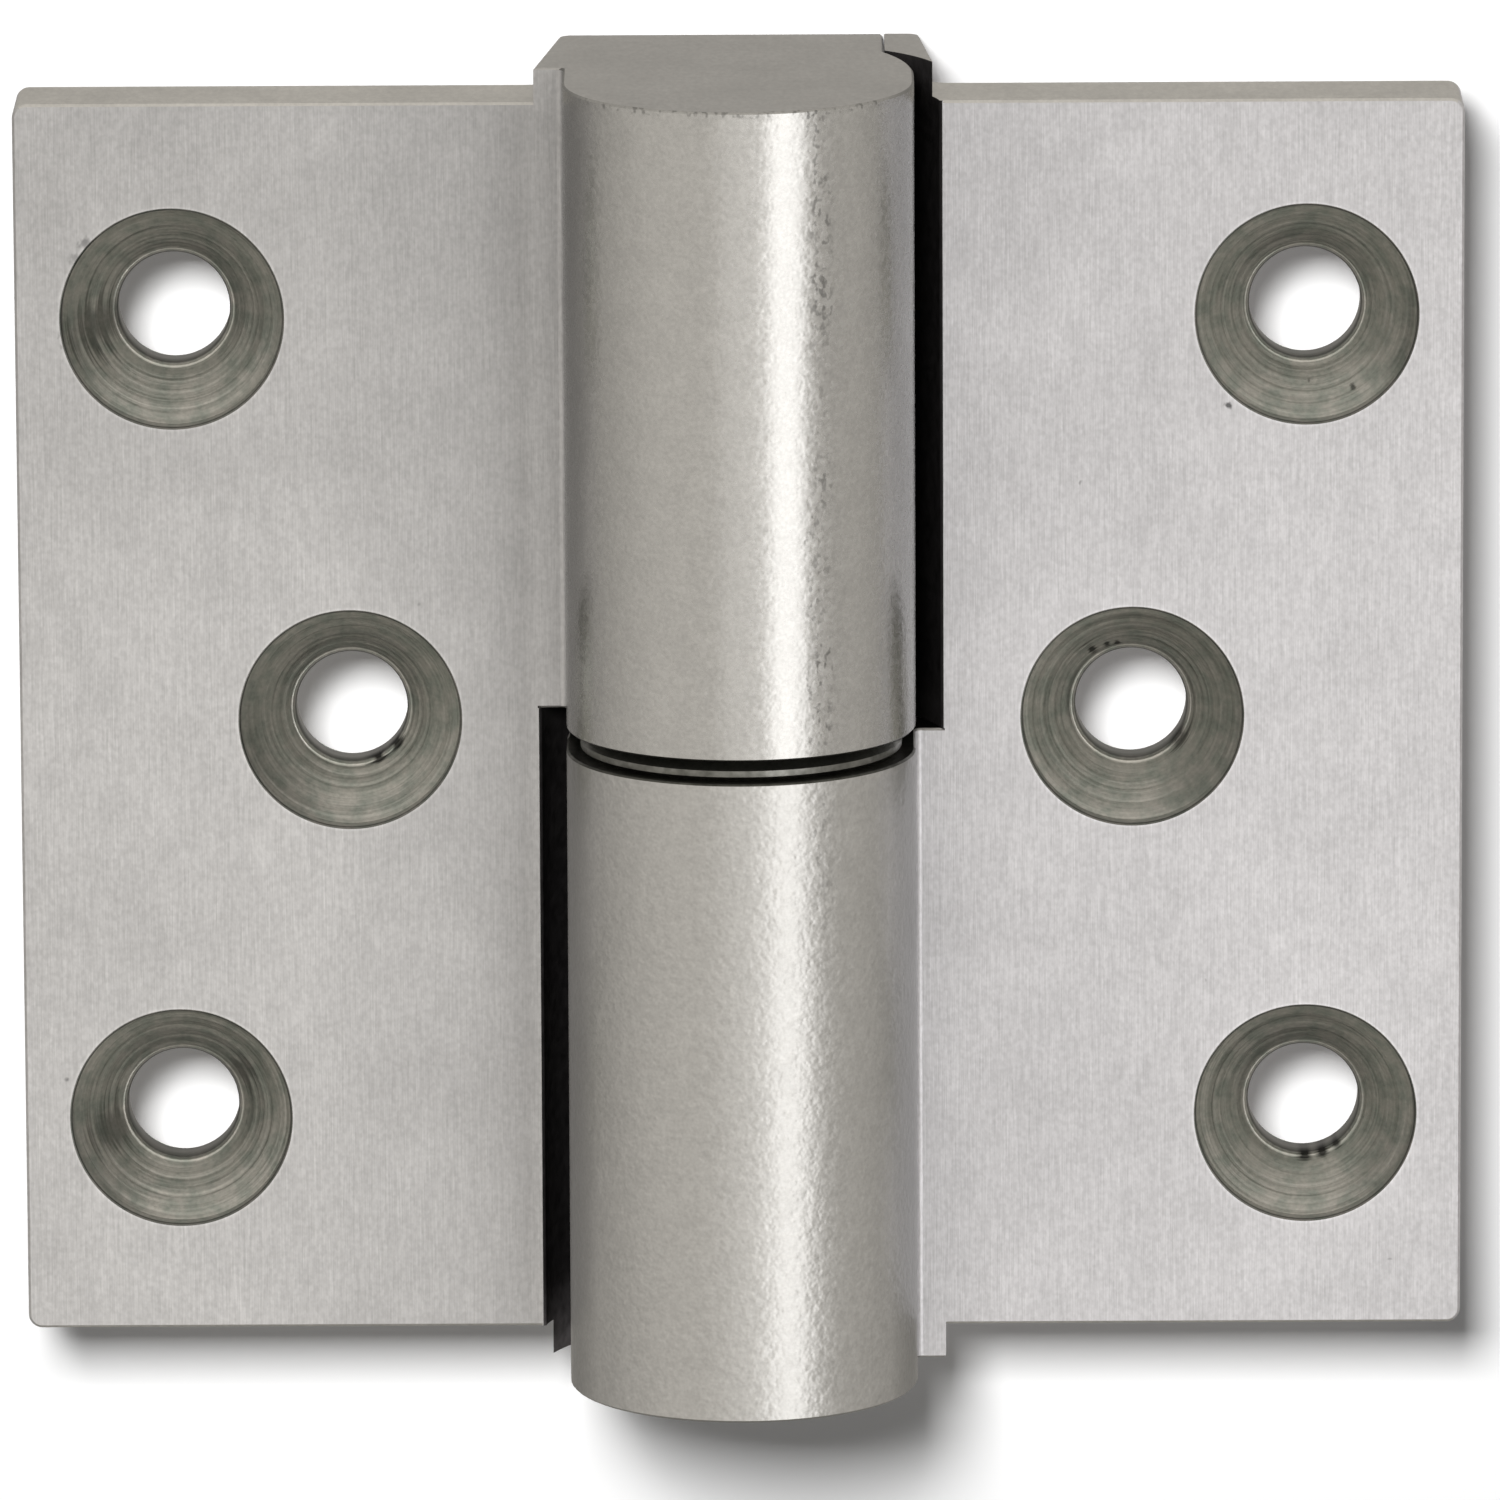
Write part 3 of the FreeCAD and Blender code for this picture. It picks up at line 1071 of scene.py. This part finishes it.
@dataclass
class Washer(PackedPiece):
    """The turned washer between the knuckles, its steel darkened as painted shade for the slit it sits in.
    """

    node: str = "thrust_washer"
    finish: Finish = WASHER_SHADE_STEEL


@dataclass
class Viewpoint:
    """The camera, fitted to the photo's view of the hinge.

    Angles are in degrees, and lengths in millimetres apart from the clip, which is in metres.
    """

    yaw: float = 0.11
    pitch: float = 12.22
    roll: float = -0.279
    distance: float = 955.6
    lens: float = 400.5
    target: Triple = (0.501, PIN_AXIS_Y, -0.801)
    sensor: float = 36.0
    clip: Span = (0.05, 50.0)

    def build(self) -> bpy.types.Object:
        """Make the camera, turn it to the hinge and make it the scene's own.

        Returns:
            The camera.
        """
        yaw, pitch, roll = (math.radians(angle) for angle in (self.yaw, self.pitch, self.roll))
        ahead, drop = math.cos(pitch), math.sin(pitch)
        forward = Vector((-math.sin(yaw) * ahead, math.cos(yaw) * ahead, -drop))
        level = Vector((math.cos(yaw), math.sin(yaw), 0.0))
        upright = level.cross(forward)
        right = level * math.cos(roll) + upright * math.sin(roll)
        up = upright * math.cos(roll) - level * math.sin(roll)
        place = (Vector(self.target) - forward * self.distance) * MM
        turn = Matrix((right, up, -forward)).transposed().to_4x4()
        data = bpy.data.cameras.new("camera")
        data.lens, data.sensor_width = self.lens, self.sensor
        data.clip_start, data.clip_end = self.clip
        camera = bpy.data.objects.new("camera", data)
        camera.matrix_world = Matrix.Translation(place) @ turn
        bpy.context.scene.collection.objects.link(camera)
        bpy.context.scene.camera = camera
        return camera


class Use(Enum):
    """What a lamp is there for."""

    SHINE = "only the steel mirrors it"
    LIGHT = "it lights the hinge and casts the shadow, and nothing mirrors it"


@dataclass(frozen=True)
class SoftBox:
    """A soft box that faces the hinge.

    Azimuth is in degrees to the right of the camera's side, and height in degrees above the hinge.
    Width and rise are degrees as seen from the hinge. Level is the brightness of the surface, where
    1 is white, and reach the distance in metres.
    """

    name: str
    use: Use
    azimuth: float
    height: float
    width: float
    rise: float
    level: float
    reach: float = 1.2

    def side(self, angle: float) -> float:
        """Return how long a side is, in metres, that spans an angle in degrees."""
        return 2 * self.reach * math.tan(math.radians(angle / 2))

    def hang(self) -> None:
        """Make the lamp and turn it to the hinge."""
        turn, lift = math.radians(self.azimuth), math.radians(self.height)
        out = Vector((math.sin(turn) * math.cos(lift), -math.cos(turn) * math.cos(lift), math.sin(lift)))
        data = bpy.data.lights.new(self.name, "AREA")
        data.shape = "RECTANGLE"
        data.size, data.size_y = self.side(self.width), self.side(self.rise)
        data.energy = self.level * math.pi * data.size * data.size_y
        lamp = bpy.data.objects.new(self.name, data)
        lamp.location = out * self.reach
        lamp.rotation_mode = "QUATERNION"
        lamp.rotation_quaternion = out.to_track_quat("Z", "Y")
        lamp.visible_diffuse = self.use is Use.LIGHT
        lamp.visible_glossy = self.use is Use.SHINE
        bpy.context.scene.collection.objects.link(lamp)


@dataclass
class Studio:
    """The pale floor behind the hinge, the lamps and the world.

    The room that the steel mirrors has a front and a back level, darker in one front corner and
    towards the ground. Its spans are shares of the direction that is looked in.
    """

    floor_y: float = 13.05
    floor_size: float = 6000.0
    floor_colour: Colour = (0.96, 0.96, 0.96)
    floor_glow: float = 0.02
    plain_level: float = 0.1
    white_level: float = 1.0
    front_level: float = 0.81
    back_level: float = 0.5
    front_to_back: Span = (-0.6, 0.3)
    corner_level: float = -0.16
    corner_depth: Span = (-0.45, -0.15)
    corner_side: Span = (0.3, 0.8)
    ground_to_sky: Span = (-1.0, 0.8)
    ground_share: float = 0.6
    sky_share: float = 1.35
    room_tint: Colour = (1.0, 0.958, 0.885)
    boxes: tuple[SoftBox, ...] = (
        SoftBox("strip", Use.SHINE, 31.5, -12.0, 24.0, 60.0, 1.22),
        SoftBox("wide_strip", Use.SHINE, 15.0, -12.0, 54.0, 60.0, 0.22),
        SoftBox("key", Use.LIGHT, -9.0, 22.0, 14.0, 14.0, 57.5),
    )

    def build(self) -> None:
        """Set up the whole studio."""
        self.world()
        self.floor()
        for box in self.boxes:
            box.hang()
        bpy.context.scene.view_settings.view_transform = "Standard"

    def room(self, graph: Graph) -> Feed:
        """Light the room that the steel mirrors, by direction.

        Args:
            graph: The world's graph.

        Returns:
            How bright the room is.
        """
        direction = graph.add("ShaderNodeTexCoord", {}).outputs["Generated"]
        x, y, z = graph.add("ShaderNodeSeparateXYZ", {0: direction}).outputs[:3]
        level = graph.spread(y, self.front_to_back, self.front_level, self.back_level)
        corner = graph.spread(y, self.corner_depth, self.corner_level, 0.0)
        corner = graph.product(corner, graph.spread(x, self.corner_side, 0.0, 1.0))
        rise = graph.spread(z, self.ground_to_sky, self.ground_share, self.sky_share)
        return graph.product(graph.sum(level, corner), rise)

    def world(self) -> None:
        """Light the hinge evenly, with a paler front for the steel to reflect and white behind it."""
        world = bpy.data.worlds.new("studio")
        world.use_nodes = True
        graph = Graph(world.node_tree)
        path = graph.add("ShaderNodeLightPath", {})
        plain = graph.add("ShaderNodeBackground", {"Color": WHITE, "Strength": self.plain_level})
        shine = graph.add("ShaderNodeBackground", {"Color": self.room_tint, "Strength": self.room(graph)})
        white = graph.add("ShaderNodeBackground", {"Color": WHITE, "Strength": self.white_level})
        seen = {0: path.outputs["Is Glossy Ray"], 1: plain.outputs[0], 2: shine.outputs[0]}
        light = graph.add("ShaderNodeMixShader", seen)
        seen = {0: path.outputs["Is Camera Ray"], 1: light.outputs[0], 2: white.outputs[0]}
        light = graph.add("ShaderNodeMixShader", seen)
        graph.add("ShaderNodeOutputWorld", {"Surface": light.outputs[0]})
        bpy.context.scene.world = world

    def floor_paint(self) -> bpy.types.Material:
        """Make the floor's pale paint, which is clear from behind so that the hinge's back shows.

        Returns:
            The paint.
        """
        material, graph = new_material("pale_floor")
        paint = graph.add("ShaderNodeBsdfDiffuse", {"Color": self.floor_colour})
        seen = graph.add("ShaderNodeLightPath", {}).outputs["Is Camera Ray"]
        glow = graph.add("ShaderNodeEmission", {"Strength": graph.product(seen, self.floor_glow)})
        paint = graph.add("ShaderNodeAddShader", {0: paint.outputs[0], 1: glow.outputs[0]})
        clear = graph.add("ShaderNodeBsdfTransparent", {})
        behind = graph.add("ShaderNodeNewGeometry", {}).outputs["Backfacing"]
        shown = graph.add("ShaderNodeMixShader", {0: behind, 1: paint.outputs[0], 2: clear.outputs[0]})
        graph.add("ShaderNodeOutputMaterial", {"Surface": shown.outputs[0]})
        return material

    def floor(self) -> None:
        """Lay the hinge's back on a pale floor, which stands upright in the hinge's frame."""
        half = self.floor_size / 2
        corners = [(-half, -half), (half, -half), (half, half), (-half, half)]
        mesh = bpy.data.meshes.new("floor")
        points = [Vector((x, self.floor_y, z)) * MM for x, z in corners]
        mesh.from_pydata(points, [], [(0, 1, 2, 3)])
        mesh.materials.append(self.floor_paint())
        floor = bpy.data.objects.new("floor", mesh)
        bpy.context.scene.collection.objects.link(floor)
        floor.visible_glossy = False


def main() -> None:
    """Build the hinge's pieces, the studio and the camera, and report each piece."""
    logging.basicConfig(level=logging.INFO, format="%(name)s: %(message)s")
    builders = [
        Leaf("door_leaf", "door_side", Side.DOOR, 11, UPPER_KNUCKLE, DOOR_DRAWN_SHADED),
        Leaf("frame_leaf", "frame_side", Side.FRAME, 29, LOWER_KNUCKLE, FRAME_DRAWN_LIT),
        Pin(),
        Washer(),
    ]
    for builder in builders:
        piece = builder.build()
        log.info("%s has %d faces", piece.name, len(piece.data.polygons))
    Studio().build()
    Viewpoint().build()


if __name__ == "__main__":
    main()
